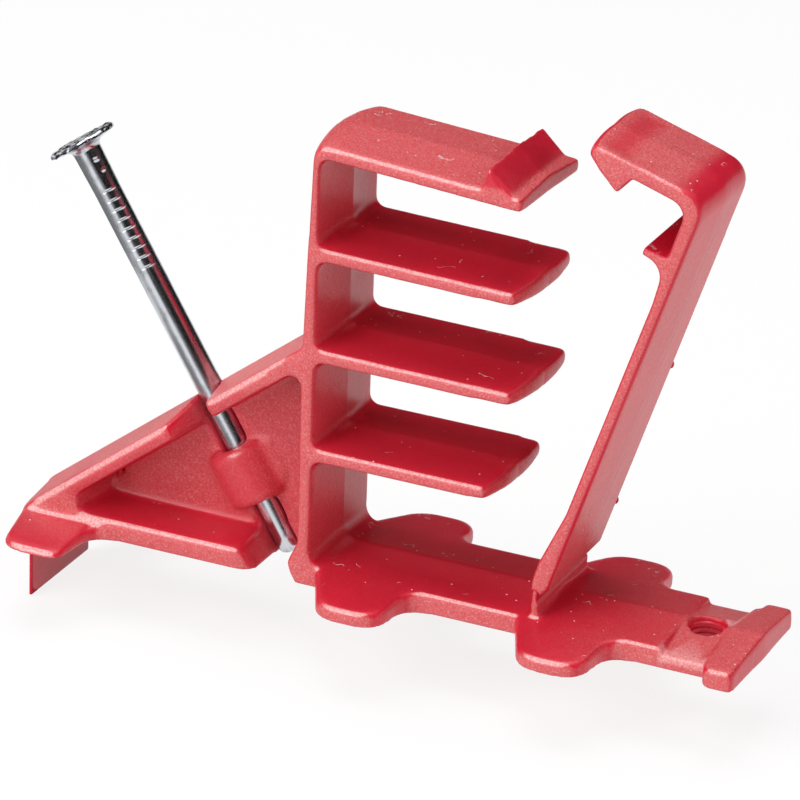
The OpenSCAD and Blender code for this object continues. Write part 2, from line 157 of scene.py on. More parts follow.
def new_material(name: str) -> tuple[bpy.types.Material, NodeTree]:
    """Makes a material without nodes.

    Args:
        name: Name of the material.

    Returns:
        The material and its empty tree.
    """
    material = bpy.data.materials.new(name)
    material.use_nodes = True
    return material, NodeTree(material.node_tree)


@dataclass(frozen=True)
class RedPlastic:
    """Satin red plastic, spark-textured on its flat faces, with fluff specks on what faces up,
    painted sheen where it faces the lamps, and painted glints and edge highlights.

    Grain, clouds, waves, fluff-speck cells and fibres are counts per metre, and the seam is in
    metres.
    """

    name: str = "red_plastic"
    deep: Colour = (0.60, 0.008, 0.032, 1)
    cloudy: Colour = (0.54, 0.007, 0.028, 1)
    # Colour of the frosted finish and of the painted sheen
    pale: Colour = (0.64, 0.105, 0.110, 1)
    # Colour of the fluff specks and of the painted glints
    lint_and_glint: Colour = (0.85, 0.75, 0.74, 1)
    shade: Colour = (0.25, 0.02, 0.03, 1)
    # Colour of the painted edge highlight and of whitened wear
    shine_and_wear_colour: Colour = (0.92, 0.52, 0.51, 1)
    specular: float = 0.4
    grain: float = 4600.0
    grain_depth: float = 0.00007
    clouds: float = 160.0
    waves: float = 700.0
    wave_share: float = 1.2
    sparkle: float = 0.2
    smooth_rough: float = 0.27
    grain_rough: float = 0.35
    frost_rough: float = 0.11
    lint_cell: float = 900.0
    fibre: float = 700.0
    fibre_patch: float = 300.0
    seam_y: float | None = None
    seam_wander: float = 0.0004
    seam_core: float = 0.00004
    seam_edge: float = 0.00011

    def build(self) -> bpy.types.Material:
        """Builds the finish.

        Returns:
            The material with all its nodes.
        """
        material, tree = new_material(self.name)
        where = tree.place()
        normal = tree.add("ShaderNodeNewGeometry").outputs["Normal"]
        facing = tree.add("ShaderNodeSeparateXYZ", {0: normal}).outputs
        frost_and_sheen = tree.add("ShaderNodeAttribute", attribute_name=FROST_AND_SHEEN).outputs["Fac"]
        clouds = tree.ramp(tree.noise(where, self.clouds, 3.0), *NOISE_SPAN)
        grain = tree.noise(where, self.grain)
        colour = tree.mix(clouds, self.deep, self.cloudy)
        # Paler where the finish is frosted, plus painted sheen: paler on faces that catch the
        # lamps, deeper on tops in shade
        paler = tree.math("MULTIPLY", frost_and_sheen, tree.ramp(grain, *NOISE_SPAN, 0.75, 1.35))
        colour = tree.mix(paler, colour, self.pale)
        # Painted glints: pale specks on the frosted faces, stronger where the finish is paler
        sparkle = tree.ramp(tree.noise(where, 1.2 * self.grain, 1.0), 0.5, 0.74, 0.0, self.sparkle)
        colour = tree.mix(tree.math("MULTIPLY", sparkle, frost_and_sheen), colour, self.lint_and_glint)
        colour = tree.mix(self.lint_mask(tree, where, facing["Z"]), colour, self.lint_and_glint)
        # Painted highlight along edges that face the key lamp, plus real whitened wear where the
        # zones give it, broken up by the grain
        edge_shine_and_wear = tree.add("ShaderNodeAttribute", attribute_name=EDGE_SHINE_AND_WEAR).outputs["Fac"]
        second_tone = tree.math("MULTIPLY", edge_shine_and_wear, tree.ramp(grain, *NOISE_SPAN, 0.4, 0.8))
        colour = tree.mix(second_tone, colour, self.shine_and_wear_colour)
        if self.seam_y is not None:
            colour = tree.mix(self.seam_mask(tree, where, facing), colour, self.shade)
        rough = tree.math(
            "ADD", tree.ramp(grain, 0.3, 0.7, self.smooth_rough, self.grain_rough),
            tree.math("MULTIPLY", frost_and_sheen, self.frost_rough))
        waves = tree.math(
            "ADD", grain, tree.math("MULTIPLY", tree.noise(where, self.waves), self.wave_share))
        strength = tree.ramp(frost_and_sheen, 0.0, 1.0, 0.2, 1.0)
        bump = tree.add("ShaderNodeBump", {
            "Height": waves, "Strength": strength, "Distance": self.grain_depth})
        shader = tree.add("ShaderNodeBsdfPrincipled", {
            "Base Color": colour, "Roughness": rough, "Normal": bump.outputs[0],
            "Specular IOR Level": self.specular})
        tree.add("ShaderNodeOutputMaterial", {0: shader.outputs[0]})
        return material

    def seam_mask(self, tree: NodeTree, where: Socket,
                  facing: bpy.types.bpy_prop_collection) -> Socket:
        """Finds the mould's parting line on the faces that look right and up.

        Args:
            tree: The tree to add to.
            where: Places of the surface.
            facing: X, Y and Z of the way that it looks.

        Returns:
            How strongly the line shows, from 0 to 1.
        """
        place = tree.add("ShaderNodeSeparateXYZ", {0: where}).outputs
        wander = tree.math("MULTIPLY", tree.math("SUBTRACT", tree.noise(where, 60.0), 0.5),
                           self.seam_wander)
        line = tree.math("SUBTRACT", tree.math("ADD", place["Y"], wander), self.seam_y)
        thin = tree.ramp(tree.math("ABSOLUTE", line), self.seam_core, self.seam_edge, 0.75, 0.0)
        on_right = tree.ramp(facing["X"], 0.75, 0.85)
        on_top = tree.ramp(facing["Z"], 0.9, 0.94, 0.0, 0.4)
        return tree.math("MULTIPLY", thin, tree.math("MAXIMUM", on_right, on_top))

    def lint_mask(self, tree: NodeTree, where: Socket, up: Socket) -> Socket:
        """Finds the few white specks and fibres that lie on what faces up.

        Args:
            tree: The tree to add to.
            where: Places of the surface.
            up: Z of the way that it looks.

        Returns:
            How strongly they show, from 0 to 1.
        """
        cells = tree.add("ShaderNodeTexVoronoi", {"Vector": where, "Scale": self.lint_cell})
        dot = tree.ramp(cells.outputs["Distance"], 0.05, 0.09, 1.0, 0.0)
        pick = tree.add("ShaderNodeSeparateColor", {0: cells.outputs["Color"]}).outputs[0]
        dots = tree.math("MULTIPLY", dot, tree.ramp(pick, 0.5, 0.52))
        curl = tree.math("ABSOLUTE", tree.math("SUBTRACT", tree.noise(where, self.fibre, 1.0), 0.5))
        few = tree.ramp(tree.noise(where, self.fibre_patch, 0.0), 0.74, 0.76)
        fibres = tree.math("MULTIPLY", tree.ramp(curl, 0.004, 0.014, 0.7, 0.0), few)
        specks = tree.math("MAXIMUM", dots, fibres)
        return tree.math("MULTIPLY", specks, tree.ramp(up, 0.85, 0.95))


@dataclass(frozen=True)
class ZincSteel:
    """Bright zinc on drawn steel, with fine lines along the shank and dark patches on the head.

    Lean is in degrees, the head starts at head_from in metres along the nail, and the lines,
    blotches and head patches are counts per metre.
    """

    name: str = "zinc_steel"
    bright: Colour = (0.62, 0.64, 0.68, 1)
    dull: Colour = (0.42, 0.43, 0.46, 1)
    head_dark: Colour = (0.045, 0.045, 0.055, 1)
    lean: float = 31.9
    head_from: float = 0.0471
    head_fade: float = 0.0003
    drawn_lines: float = 2600.0
    line_squeeze: float = 0.03
    blotches: float = 900.0
    head_patches: float = 1100.0
    relief: float = 0.000008

    def build(self) -> bpy.types.Material:
        """Builds the finish.

        Returns:
            The material with all its nodes.
        """
        material, tree = new_material(self.name)
        where = tree.place()
        turned = tree.add("ShaderNodeMapping", {
            "Vector": where, "Rotation": (0.0, math.radians(self.lean), 0.0)}).outputs[0]
        stretched = tree.add("ShaderNodeMapping", {
            "Vector": turned, "Scale": (1.0, 1.0, self.line_squeeze)}).outputs[0]
        lines = tree.noise(stretched, self.drawn_lines, 3.0)
        blotch = tree.noise(where, self.blotches, 4.0)
        second_tone = tree.ramp(tree.math("ADD", lines, blotch), 0.95, 1.3)
        colour = tree.mix(second_tone, self.bright, self.dull)
        along = tree.add("ShaderNodeSeparateXYZ", {0: turned}).outputs["Z"]
        on_head = tree.ramp(along, self.head_from, self.head_from + self.head_fade)
        # Dark patches on the head
        dark_patch = tree.ramp(tree.noise(where, self.head_patches, 3.0), 0.47, 0.55)
        colour = tree.mix(tree.math("MULTIPLY", dark_patch, on_head), colour, self.head_dark)
        rough = tree.math("ADD", tree.ramp(lines, 0.3, 0.7, 0.18, 0.27),
                          tree.ramp(blotch, 0.5, 0.8, 0.0, 0.06))
        bump = tree.add("ShaderNodeBump", {
            "Height": tree.math("ADD", lines, blotch), "Strength": 0.4, "Distance": self.relief})
        shader = tree.add("ShaderNodeBsdfPrincipled", {
            "Base Color": colour, "Roughness": rough, "Normal": bump.outputs[0], "Metallic": 1.0})
        tree.add("ShaderNodeOutputMaterial", {0: shader.outputs[0]})
        return material


@dataclass(frozen=True)
class WhitePaper:
    """Matt white paper that stays white for the eye and keeps a soft shadow."""

    name: str = "white_paper"
    colour: Colour = (0.86, 0.86, 0.86, 1)
    shadow_share: float = 0.2
    glow: float = 1.04
    fibres: float = 4000.0
    fibre_depth: float = 0.00002

    def build(self) -> bpy.types.Material:
        """Builds the finish.

        Returns:
            The material with all its nodes.
        """
        material, tree = new_material(self.name)
        fibre = tree.noise(tree.place(), self.fibres)
        bump = tree.add("ShaderNodeBump", {
            "Height": fibre, "Strength": 0.1, "Distance": self.fibre_depth})
        paper = tree.add("ShaderNodeBsdfDiffuse", {
            "Color": self.colour, "Normal": bump.outputs[0]})
        white = tree.add("ShaderNodeEmission", {"Color": (1, 1, 1, 1), "Strength": self.glow})
        share = tree.math("MULTIPLY", seen_ray(tree), 1.0 - self.shadow_share)
        both = tree.add("ShaderNodeMixShader", {
            0: share, 1: paper.outputs[0], 2: white.outputs[0]})
        tree.add("ShaderNodeOutputMaterial", {0: both.outputs[0]})
        return material


@dataclass(frozen=True)
class Felt:
    """Felt of the cards that give the nail and the shelves their dark reflections."""

    name: str = "dark_felt"
    colour: Colour = (0.02, 0.02, 0.02, 1)
    second_tone: Colour = (0.03, 0.03, 0.03, 1)
    mottle: float = 300.0

    def build(self) -> bpy.types.Material:
        """Builds the finish.

        Returns:
            The material with all its nodes.
        """
        material, tree = new_material(self.name)
        mottle = tree.noise(tree.place(), self.mottle, 4.0)
        colour = tree.mix(mottle, self.colour, self.second_tone)
        shader = tree.add("ShaderNodeBsdfDiffuse", {"Color": colour})
        tree.add("ShaderNodeOutputMaterial", {0: shader.outputs[0]})
        return material


def seen_ray(tree: NodeTree) -> Socket:
    """Tells the rays of the eye from those of light.

    Args:
        tree: The tree to add to.

    Returns:
        1 for rays that the eye, metal or glass sees, and 0 for light.
    """
    path = tree.add("ShaderNodeLightPath").outputs
    seen = tree.math("MAXIMUM", path["Is Camera Ray"], path["Is Glossy Ray"])
    return tree.math("MAXIMUM", seen, path["Is Transmission Ray"])


def new_piece(name: str, bm: bmesh.types.BMesh, material: bpy.types.Material,
              sharp_deg: float = 35.0) -> bpy.types.Object:
    """Makes a finished piece at the origin.

    Args:
        name: Name of the piece.
        bm: Its mesh in metres, which is freed.
        material: Its finish.
        sharp_deg: Edges that turn by more than this stay sharp.

    Returns:
        The linked object.
    """
    mesh = bpy.data.meshes.new(name)
    for face in bm.faces:
        face.smooth = True
    for edge in bm.edges:
        if len(edge.link_faces) == 2 and edge.calc_face_angle() > math.radians(sharp_deg):
            edge.smooth = False
    bm.to_mesh(mesh)
    bm.free()
    mesh.materials.append(material)
    piece = bpy.data.objects.new(name, mesh)
    bpy.context.scene.collection.objects.link(piece)
    return piece


def aimed(place: Spot, way: Vector, front: str) -> Matrix:
    """Places something so that its front looks a given way.

    Args:
        place: Where its origin goes.
        way: Where its front looks.
        front: The axis that is its front.

    Returns:
        Its matrix.
    """
    turn = way.to_track_quat(front, "Y").to_matrix().to_4x4()
    return Matrix.Translation(place) @ turn


@dataclass(frozen=True)
class Zone:
    """A box in mm with soft sides, and the way that its faces look.

    The amount is how strongly it acts, spread is how far a face may turn from that way, and blur
    is how wide its sides fade, in mm.
    """

    low: Spot
    high: Spot
    amount: float
    toward: Spot | None = None
    spread: float = 0.35
    blur: float = 0.6

    def weights(self, points: np.ndarray, normals: np.ndarray) -> np.ndarray:
        """Finds how much each point belongs to the zone.

        Args:
            points: Places of the points in mm.
            normals: Directions of the surface there.

        Returns:
            Values from 0 to 1.
        """
        depth = np.minimum(points - np.array(self.low), np.array(self.high) - points).min(axis=1)
        share = np.clip(depth / self.blur + 0.5, 0, 1)
        if self.toward is not None:
            way = np.array(self.toward) / np.linalg.norm(self.toward)
            fade = 0.6 * self.spread
            share = share * np.clip((normals @ way - 1 + self.spread) / fade, 0, 1)
        return share * share * (3 - 2 * share)


@dataclass(frozen=True)
class Arc:
    """A drafted end that bulges from a crest with two flat flanks to an arc. Sizes are in mm."""

    where: Zone
    way: Spot
    bulge: float
    half_width: float = 6.2

    def push(self, points: np.ndarray) -> np.ndarray:
        """Finds how far each point moves outwards, most in the middle of each flank.

        Args:
            points: Places of the points in mm.

        Returns:
            The moves in mm.
        """
        across = np.clip(np.abs(points[:, 1]) / self.half_width, 0, 1)
        far = self.where.weights(points, points) * self.bulge * 4 * across * (1 - across)
        return far[:, None] * np.array(self.way)


@dataclass
class MouldedShape:
    """A moulded piece: the CAD solid with every edge and root softened as a mould leaves it.

    Weld and voxel are in mm, and soften and round_more are counts of smoothing rounds.
    """

    node: str
    name: str
    body: Body
    weld: float = 0.0015
    voxel: float = 0.15
    triangles: int = 190000
    soften: int = 12
    round_more: int = 90
    rounds: tuple[Zone, ...] = ()
    crisp: tuple[Zone, ...] = ()
    frost_and_sheen: tuple[Zone, ...] = ()
    edge_shine_and_wear: tuple[Zone, ...] = ()
    dents: tuple[Zone, ...] = ()
    arcs: tuple[Arc, ...] = ()

    def merged(self) -> bpy.types.Object:
        """Copies the node's mesh and joins its loose triangles.

        Returns:
            A new object with the copy.
        """
        bm = bmesh.new()
        bm.from_mesh(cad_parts[self.node].data)
        bmesh.ops.remove_doubles(bm, verts=bm.verts, dist=self.weld * MM)
        mesh = bpy.data.meshes.new(self.name)
        bm.to_mesh(mesh)
        bm.free()
        piece = bpy.data.objects.new(self.name, mesh)
        bpy.context.scene.collection.objects.link(piece)
        return piece

    def apply(self, piece: bpy.types.Object) -> None:
        """Applies the modifiers of a piece to its mesh.

        Args:
            piece: The piece.
        """
        graph = bpy.context.evaluated_depsgraph_get()
        mesh = bpy.data.meshes.new_from_object(piece.evaluated_get(graph))
        piece.modifiers.clear()
        old, piece.data = piece.data, mesh
        bpy.data.meshes.remove(old)

    def measure(self, piece: bpy.types.Object) -> tuple[np.ndarray, np.ndarray]:
        """Reads the vertices of a piece.

        Args:
            piece: The piece.

        Returns:
            Their places in mm and their normals.
        """
        count = len(piece.data.vertices)
        points, normals = np.zeros(count * 3), np.zeros(count * 3)
        piece.data.vertices.foreach_get("co", points)
        piece.data.vertices.foreach_get("normal", normals)
        return points.reshape(-1, 3) / MM, normals.reshape(-1, 3)

    def smooth(self, piece: bpy.types.Object, rounds: int, weights: np.ndarray) -> None:
        """Smooths a piece where the weights are above zero.

        Args:
            piece: The piece.
            rounds: How often each vertex moves towards its neighbours.
            weights: How far it moves, from 0 to 1.
        """
        group = piece.vertex_groups.new(name="softened")
        steps = np.round(weights * WEIGHT_STEPS).astype(int)
        for step in range(1, WEIGHT_STEPS + 1):
            group.add(np.flatnonzero(steps == step).tolist(), step / WEIGHT_STEPS, "REPLACE")
        smooth = piece.modifiers.new("soft_edges", "SMOOTH")
        smooth.factor, smooth.iterations, smooth.vertex_group = 0.5, rounds, group.name
        self.apply(piece)
        piece.vertex_groups.clear()

    def build(self, plastic: bpy.types.Material) -> list[bpy.types.Object]:
        """Builds the piece.

        Args:
            plastic: The red finish.

        Returns:
            The pieces made.
        """
        piece = self.merged()
        remesh = piece.modifiers.new("even_mesh", "REMESH")
        remesh.mode, remesh.voxel_size = "VOXEL", self.voxel * MM
        self.apply(piece)
        points, normals = self.measure(piece)
        hard = self.most(self.crisp, points, normals)
        self.smooth(piece, self.soften, 1 - hard)
        more = self.most(self.rounds, points, normals) * (1 - hard)
        self.smooth(piece, self.round_more, more)
        self.shift(piece)
        thin = piece.modifiers.new("fewer_faces", "DECIMATE")
        thin.ratio = min(1.0, self.triangles / (2 * len(piece.data.polygons)))
        self.apply(piece)
        self.finish(piece, plastic)
        return [piece]

    def shift(self, piece: bpy.types.Object) -> None:
        """Sinks the surface in each dent zone by its amount in mm, and bows the ends to arcs.

        Args:
            piece: The piece.
        """
        points, normals = self.measure(piece)
        moved = points.copy()
        for zone in self.dents:
            moved -= normals * (zone.amount * zone.weights(points, normals))[:, None]
        for arc in self.arcs:
            moved += arc.push(points)
        piece.data.vertices.foreach_set("co", (moved * MM).ravel())
        piece.data.update()

    def most(self, zones: tuple[Zone, ...], points: np.ndarray, normals: np.ndarray) -> np.ndarray:
        """Finds the strongest zone at each point.

        Args:
            zones: The zones.
            points: Places of the points in mm.
            normals: Directions of the surface there.

        Returns:
            The amounts there.
        """
        out = np.zeros(len(points))
        for zone in zones:
            out = np.maximum(out, zone.amount * zone.weights(points, normals))
        return out

    def finish(self, piece: bpy.types.Object, plastic: bpy.types.Material) -> None:
        """Dresses the piece, hides the CAD node that it stands for and ties it to its body.

        Args:
            piece: The piece.
            plastic: Its finish.
        """
        points, normals = self.measure(piece)
        # Frosted finish plus painted sheen, each later zone laid over the earlier ones
        frost_and_sheen = np.zeros(len(points))
        for zone in self.frost_and_sheen:
            share = zone.weights(points, normals)
            frost_and_sheen = frost_and_sheen * (1 - share) + zone.amount * share
        # Painted edge highlight plus real whitened wear
        edge_shine_and_wear = self.most(self.edge_shine_and_wear, points, normals)
        for name, values in ((FROST_AND_SHEEN, frost_and_sheen), (EDGE_SHINE_AND_WEAR, edge_shine_and_wear)):
            layer = piece.data.attributes.new(name, "FLOAT", "POINT")
            layer.data.foreach_set("value", values.astype(np.float32))
        piece.data.polygons.foreach_set("use_smooth", [True] * len(piece.data.polygons))
        piece.data.materials.clear()
        piece.data.materials.append(plastic)
        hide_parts(self.node)
        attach(piece, self.body.value)


@dataclass
class Moulding(MouldedShape):
    """The moulding without its strap."""

    node: str = "moulded_body"
    name: str = "moulding"
    body: Body = Body.STAPLE
    rounds: tuple[Zone, ...] = (
        Zone((-32, -14, 0.4), (-5.0, -0.6, 26), 1.0),
        Zone((-2.6, -14, 1.2), (23, -5.2, 46), 0.3),
        Zone((-4, -14, 36), (2.5, 3, 50), 0.9, (-0.8, 0, 0.6), spread=1.0),
        Zone((16.5, -14, 8), (24, 14, 41), 0.9),
        Zone((15.8, -4.5, 44.9), (20.5, 4.5, 50), 1.0, (-0.7, 0, 0.7), spread=0.5),
        Zone((-1, -14, 1.2), (45, 14, 4), 0.25),
    )
    crisp: tuple[Zone, ...] = (
        Zone((-32, -14, -9), (-29, 14, -0.2), 0.8),
        Zone((15.8, -14, 46.2), (20.5, 14, 50), 0.6),
        Zone((23, -14, 3.2), (25, 14, 5.5), 0.9),
        Zone((36.6, -14, -1), (41.6, 14, 4), 0.5),
    )
    # Frosted finish on the flat faces, plus painted sheen and shade: paler on tops and slopes that
    # face the lamps, deeper on tops in shade and in the bracket's recess
    frost_and_sheen: tuple[Zone, ...] = (
        Zone(ALL_LOW, ALL_HIGH, 0.3, RIGHT),
        Zone(ALL_LOW, ALL_HIGH, 0.08, UP),
        Zone(ALL_LOW, ALL_HIGH, 0.85, FRONT),
        Zone(ALL_LOW, ALL_HIGH, 0.85, REAR),
        Zone((-24, -2, 0), (-1, 2, 26), 0.5, FRONT),
        Zone((-27, -8, 4), (-4, -4, 19), 0.5, FRONT, blur=1.0),
        Zone((-3, -FAR, 43.5), (FAR, FAR, FAR), 0.75, UP),
        Zone((16.0, -FAR, 44.9), (21, FAR, 50), 0.06),
        Zone((29, -FAR, 1), (FAR, FAR, 9), 0.4, UP, blur=7.0),
        Zone((36.9, -FAR, 1), (FAR, FAR, 9), 0.7, UP),
        Zone((15, -FAR, 10), (FAR, FAR, 44), 0.5, RIGHT),
        Zone((-FAR, -FAR, 1), (-1, FAR, 30), 0.9, (-0.61, 0, 0.79), spread=0.12),
        Zone((-FAR, -FAR, 1), (-24, FAR, 4), 0.4, UP),
        Zone((-27, -6.2, 1), (-5, 0, 7), 0.08, (0, -0.4, 0.92), spread=0.5),
        Zone((-15, -9, 3.5), (-4, -1.5, 14), 0.3, blur=0.4),
        Zone((-32, -14, -9), (-28, 14, -0.3), 0.1),
        Zone((37.2, -2.0, -1), (41.1, 2.0, 2.2), 0.06, blur=0.3),
    )
    # Painted highlight on the front upper edges and the bracket flange's front edge, facing the key
    # lamp; real whitened wear round the torn hole and on the band's front edge
    edge_shine_and_wear: tuple[Zone, ...] = (
        Zone((-FAR, -FAR, -1), (FAR, -3, FAR), 1.0, (0, -0.72, 0.69), spread=0.08),
        Zone((-30, -FAR, 2), (-3, -4, 26), 0.9, (-0.4, -0.8, 0.5), spread=0.14),
        Zone((40.3, 0.1, 2.3), (41.6, 2.2, 3.4), 0.7, blur=0.4),
        Zone((36.6, -7.5, 0.8), (41.4, -5.4, 3.0), 0.6, blur=0.5),
    )
    dents: tuple[Zone, ...] = (
        Zone((40.1, 0.3, 2.2), (41.0, 1.9, 3.4), -0.2, (-0.3, 0, 0.95), spread=0.6, blur=0.5),
        Zone((40.7, -0.9, 2.2), (41.3, -0.2, 3.4), -0.12, (-0.3, 0, 0.95), spread=0.6, blur=0.4),
    )
    arcs: tuple[Arc, ...] = (
        Arc(Zone((16.5, -FAR, 9), (FAR, FAR, 42), 1.0, blur=3.0), RIGHT, 0.24),
        Arc(Zone((-FAR, -FAR, 30), (1.5, FAR, FAR), 1.0, blur=3.0), (-0.8, 0, 0.6), 0.2),
    )


@dataclass
class Strap(MouldedShape):
    """The closing strap on its living hinge."""

    node: str = "closing_strap"
    name: str = "strap"
    body: Body = Body.STRAP
    triangles: int = 90000
    rounds: tuple[Zone, ...] = (
        Zone((20, -14, 46), (28.4, 2, 60), 1.0, blur=3.0),
        Zone((36, -14, 40), (45, 14, 60), 0.5, (0.8, 0, 0.6), spread=0.6),
        Zone((23, -14, 8), (45, -4, 46), 0.5, (0.7, -0.7, -0.2), spread=0.5),
    )
    crisp: tuple[Zone, ...] = (
        Zone((23, -14, 4), (25.5, 14, 6), 0.8),
        Zone((27.6, -14, 46.6), (31, 14, 49.2), 0.8),
    )
    # Frosted finish on the flat faces, plus painted sheen and reflection: paler on the roof top and
    # on the outer face that mirrors the floor
    frost_and_sheen: tuple[Zone, ...] = (
        Zone(ALL_LOW, ALL_HIGH, 0.85, FRONT, spread=0.2),
        Zone(ALL_LOW, ALL_HIGH, 0.85, REAR, spread=0.2),
        Zone(ALL_LOW, ALL_HIGH, 0.62, (0.95, 0, -0.31), spread=0.06),
        Zone((20, -FAR, 46), ALL_HIGH, 0.85, (0.31, 0, 0.95), spread=0.1),
        Zone((28.0, -4.6, 40), (30.2, 4.6, 60), 0.35, (0.31, 0, 0.95), spread=0.4, blur=1.8),
        Zone((35.8, -FAR, 43), (45, FAR, 60), 0.05, (0.75, 0, 0.66), spread=0.55, blur=2.0),
        Zone((30, -FAR, 43.8), (45, FAR, 60), 0.15, (0.95, 0, -0.31), spread=0.1, blur=2.4),
        Zone(ALL_LOW, ALL_HIGH, 0.3, (-0.95, 0, 0.31)),
    )
    # Painted highlight along the front upper edge of the roof
    edge_shine_and_wear: tuple[Zone, ...] = (
        Zone((20, -FAR, 46), (36, -3, FAR), 0.8, (0.22, -0.72, 0.66), spread=0.1),
    )
    dents: tuple[Zone, ...] = (
        Zone((28.0, -5.0, 40), (31.0, 5.0, 60), 0.22, (0.31, 0, 0.95), spread=0.4, blur=3.0),
    )
    arcs: tuple[Arc, ...] = (
        Arc(Zone((-FAR, -FAR, 46), (29, FAR, FAR), 1.0, blur=3.0), (-0.95, 0, 0.31), 0.2, 5.7),
    )


@dataclass
class HingeWeb:
    """The thin web that carries the strap, bending between the moulding and the strap.

    The path holds its middle line as X and Z, with half its thickness. Sizes are in mm.
    """

    path: tuple[Spot, ...] = (
        (23.70, 3.70, 0.24), (23.70, 4.15, 0.21), (23.71, 4.50, 0.20), (23.74, 4.80, 0.21),
        (23.83, 5.15, 0.25), (23.95, 5.55, 0.30), (24.08, 5.90, 0.34))
    half_width: float = 6.12

    def build(self, plastic: bpy.types.Material) -> list[bpy.types.Object]:
        """Builds the web.

        Args:
            plastic: The red finish.

        Returns:
            The pieces made.
        """
        bm = bmesh.new()
        left = [(x - t, z) for x, z, t in self.path]
        right = [(x + t, z) for x, z, t in reversed(self.path)]
        ring = [bm.verts.new((x * MM, -self.half_width * MM, z * MM)) for x, z in left + right]
        face = bm.faces.new(ring)
        out = bmesh.ops.extrude_face_region(bm, geom=[face])
        moved = [v for v in out["geom"] if isinstance(v, bmesh.types.BMVert)]
        bmesh.ops.translate(bm, verts=moved, vec=(0, 2 * self.half_width * MM, 0))
        bmesh.ops.triangulate(bm, faces=[f for f in bm.faces if len(f.verts) > 4])
        bmesh.ops.recalc_face_normals(bm, faces=bm.faces)
        piece = new_piece("hinge_web", bm, plastic, sharp_deg=50.0)
        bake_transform(piece)
        return [piece]


@dataclass
class Pips:
    """Small gate marks on the strap's outer back edge. Places and radii are in mm."""

    spots: tuple[tuple[float, float, float, float], ...] = (
        (31.5, 6.0, 25.5, 0.36), (26.6, 6.1, 10.2, 0.34), (26.75, 6.05, 11.0, 0.22))
    stretch: Spot = (1.0, 0.8, 1.3)

    def build(self, plastic: bpy.types.Material) -> list[bpy.types.Object]:
        """Builds the marks.

        Args:
            plastic: The red finish.

        Returns:
            The pieces made.
        """
        bm = bmesh.new()
        for x, y, z, r in self.spots:
            ball = bmesh.ops.create_icosphere(bm, subdivisions=3, radius=r * MM)["verts"]
            bmesh.ops.scale(bm, vec=self.stretch, verts=ball)
            bmesh.ops.translate(bm, vec=(x * MM, y * MM, z * MM), verts=ball)
        piece = new_piece("pips", bm, plastic)
        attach(piece, Body.STRAP.value)
        return [piece]


@dataclass
class CutThread:
    """The threads that a screw has cut in the hole of the tab. Sizes are in mm."""

    centre: tuple[float, float] = (39.15, 0.0)
    hole_radius: float = 1.9
    depth: float = 0.2
    buried: float = 0.1
    half_root: float = 0.2
    half_crest: float = 0.03
    pitch: float = 0.56
    turns: int = 3
    start: float = 0.45
    steps: int = 36

    def build(self, plastic: bpy.types.Material) -> list[bpy.types.Object]:
        """Builds the helix.

        Args:
            plastic: The red finish.

        Returns:
            The pieces made.
        """
        x, y = self.centre
        outer, inner = self.hole_radius + self.buried, self.hole_radius - self.depth
        corners = ((outer, -self.half_root), (inner, -self.half_crest),
                   (inner, self.half_crest), (outer, self.half_root))
        bm = bmesh.new()
        section = [bm.verts.new(((x + r) * MM, y * MM, (self.start + z) * MM))
                   for r, z in corners]
        for a, b in zip(section, section[1:] + section[:1]):
            bm.edges.new((a, b))
        bmesh.ops.spin(bm, geom=bm.verts[:] + bm.edges[:], cent=(x * MM, y * MM, 0), axis=UP,
                       dvec=(0, 0, self.pitch / self.steps * MM), angle=math.tau * self.turns,
                       steps=self.steps * self.turns)
        bmesh.ops.holes_fill(bm, edges=[e for e in bm.edges if e.is_boundary], sides=4)
        bmesh.ops.recalc_face_normals(bm, faces=bm.faces)
        piece = new_piece("cut_thread", bm, plastic, sharp_deg=25.0)
        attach(piece, Body.STAPLE.value)
        return [piece]


@dataclass
class GripMark:
    """One pressed mark on the nail.

    Its distance below the head, its depth and its width are in mm. Its middle and its reach
    round the nail are in degrees.
    """

    below_head: float
    middle: float = 40.0
    reach: float = 34.0
    depth: float = 0.045
    width: float = 0.3


